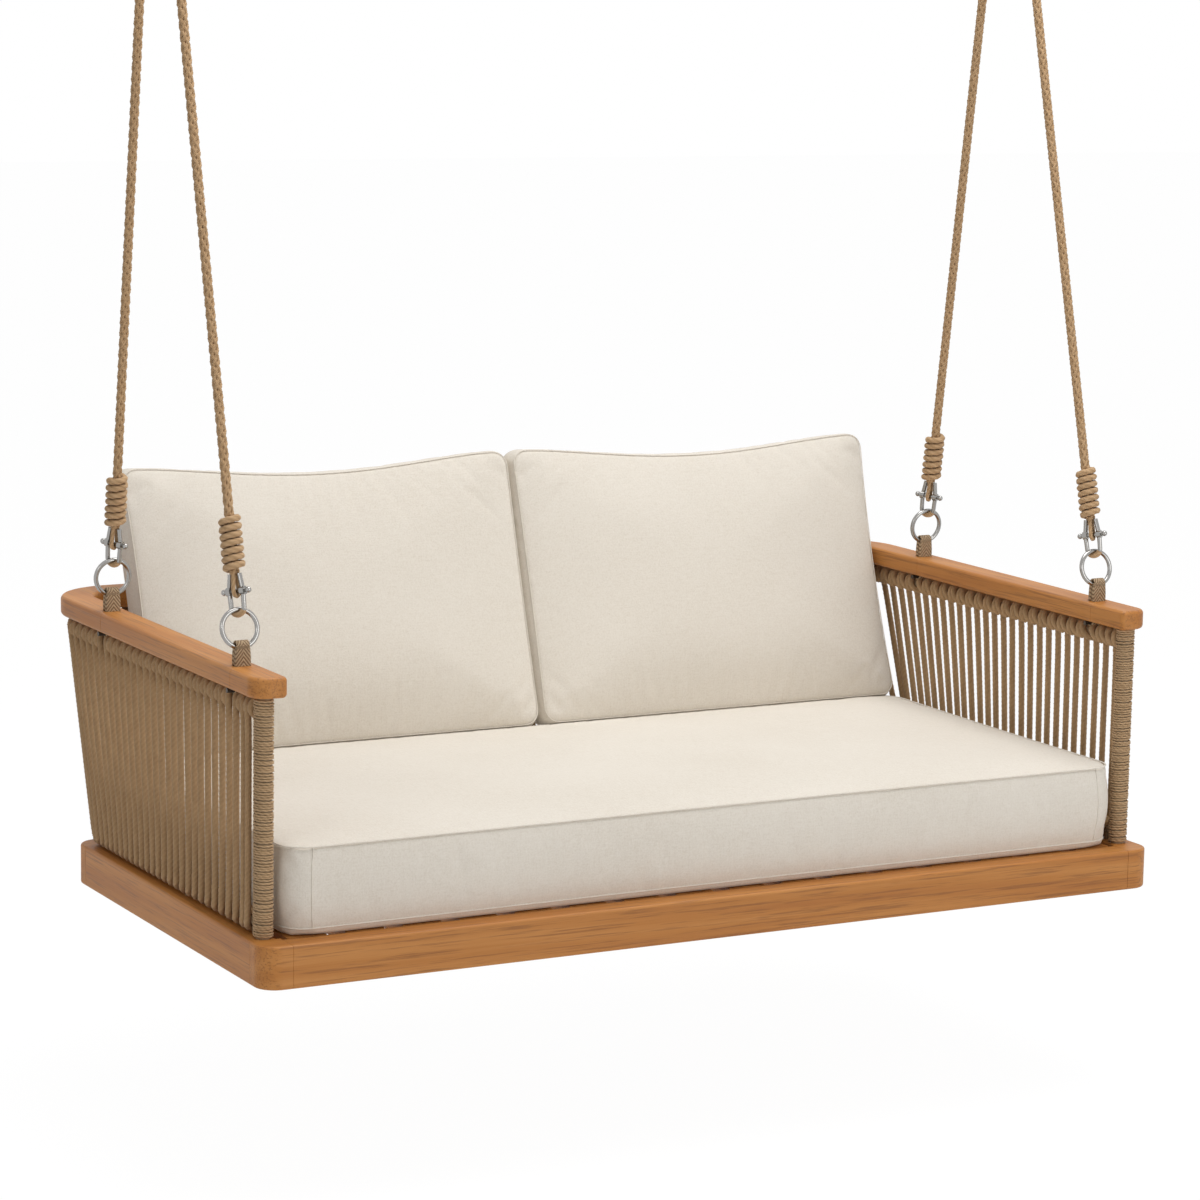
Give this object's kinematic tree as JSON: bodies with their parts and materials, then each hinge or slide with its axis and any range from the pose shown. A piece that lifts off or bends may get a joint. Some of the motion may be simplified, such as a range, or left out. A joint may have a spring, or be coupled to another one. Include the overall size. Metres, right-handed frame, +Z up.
{
  "type": "hanging swing seat",
  "caption": "Teak daybed swing with hitched cord sides and back, loose seat and back cushions, hung from the ceiling by ropes through steel rings and shackles",
  "frame": {"origin": "midpoint of the ceiling bolt holes, on the ceiling plane", "axes": "+X to the right seen from the front, +Y towards the back of the seat, +Z up"},
  "size_m": [1.71, 0.9878, 2.034],
  "materials": {
    "teak": "oiled teak",
    "coated_frame": "taupe powder coat",
    "taupe_cord": "twisted outdoor cord",
    "jute_rope": "plaited rope",
    "polished_steel": "polished stainless",
    "plain_steel": "satin stainless",
    "nylon": "natural nylon",
    "webbing": "woven strap",
    "ecru_fabric": "slubbed linen weave"
  },
  "bodies": {
    "ceiling_hangers": {"ceiling_bracket_left": "plain_steel", "ceiling_bracket_right": "plain_steel", "swing_pin_left": "plain_steel", "swing_pin_right": "plain_steel"},
    "seat": {"base_rail_front": "teak", "base_rail_back": "teak", "base_rail_left": "teak", "base_rail_right": "teak", "base_corner_left_front": "teak", "base_corner_left_back": "teak", "base_corner_right_front": "teak", "base_corner_right_back": "teak", "rail_nose_left": "teak", "rail_nose_right": "teak", "arm_rail_left": "teak", "arm_rail_right": "teak", "rail_corner_left": "teak", "rail_corner_right": "teak", "back_rail": "teak", "seat_slats": "teak", "center_bearer": "teak", "front_post_left": "coated_frame", "front_post_right": "coated_frame", "side_frame_left": "coated_frame", "side_frame_right": "coated_frame", "back_bars": "coated_frame", "post_wrap_left": "taupe_cord", "post_wrap_right": "taupe_cord", "side_cords_left": "taupe_cord", "side_cords_right": "taupe_cord", "back_cords": "taupe_cord", "rope_left_front": "jute_rope", "rope_left_back": "jute_rope", "rope_right_front": "jute_rope", "rope_right_back": "jute_rope", "lower_rope_eyes": "jute_rope", "upper_rope_eyes": "jute_rope", "lower_whippings": "jute_rope", "upper_whippings": "jute_rope", "shackle_bow_left_front": "polished_steel", "shackle_bow_left_back": "polished_steel", "shackle_bow_right_front": "polished_steel", "shackle_bow_right_back": "polished_steel", "shackle_pins": "polished_steel", "hanger_plate_left": "plain_steel", "hanger_plate_right": "plain_steel", "strap_pins": "plain_steel", "post_bolts": "plain_steel", "hanger_bushes": "nylon", "strap_left_front": "webbing", "strap_left_back": "webbing", "strap_right_front": "webbing", "strap_right_back": "webbing", "seat_cushion": "ecru_fabric", "back_cushion_left": "ecru_fabric", "back_cushion_right": "ecru_fabric"},
    "ring_left_front": {"ring_left_front": "polished_steel"},
    "ring_left_back": {"ring_left_back": "polished_steel"},
    "ring_right_front": {"ring_right_front": "polished_steel"},
    "ring_right_back": {"ring_right_back": "polished_steel"}
  },
  "joints": [
    {"name": "swing", "type": "hinge", "parent": "ceiling_hangers", "child": "seat", "pos_m": [0, 0, -0.044], "axis": [1, 0, 0], "range_deg": [-25, 25]},
    {"name": "ring_left_front_turn", "type": "hinge", "parent": "seat", "child": "ring_left_front", "pos_m": [-0.821, -0.3563, -1.48588], "axis": [0, 0.9708, -0.2399], "continuous": true},
    {"name": "ring_left_back_turn", "type": "hinge", "parent": "seat", "child": "ring_left_back", "pos_m": [-0.821, 0.19449, -1.48527], "axis": [0, 0.991, 0.1337], "continuous": true},
    {"name": "ring_right_front_turn", "type": "hinge", "parent": "seat", "child": "ring_right_front", "pos_m": [0.821, -0.3563, -1.48588], "axis": [0, 0.9708, -0.2399], "continuous": true},
    {"name": "ring_right_back_turn", "type": "hinge", "parent": "seat", "child": "ring_right_back", "pos_m": [0.821, 0.19449, -1.48527], "axis": [0, 0.991, 0.1337], "continuous": true}
  ]
}
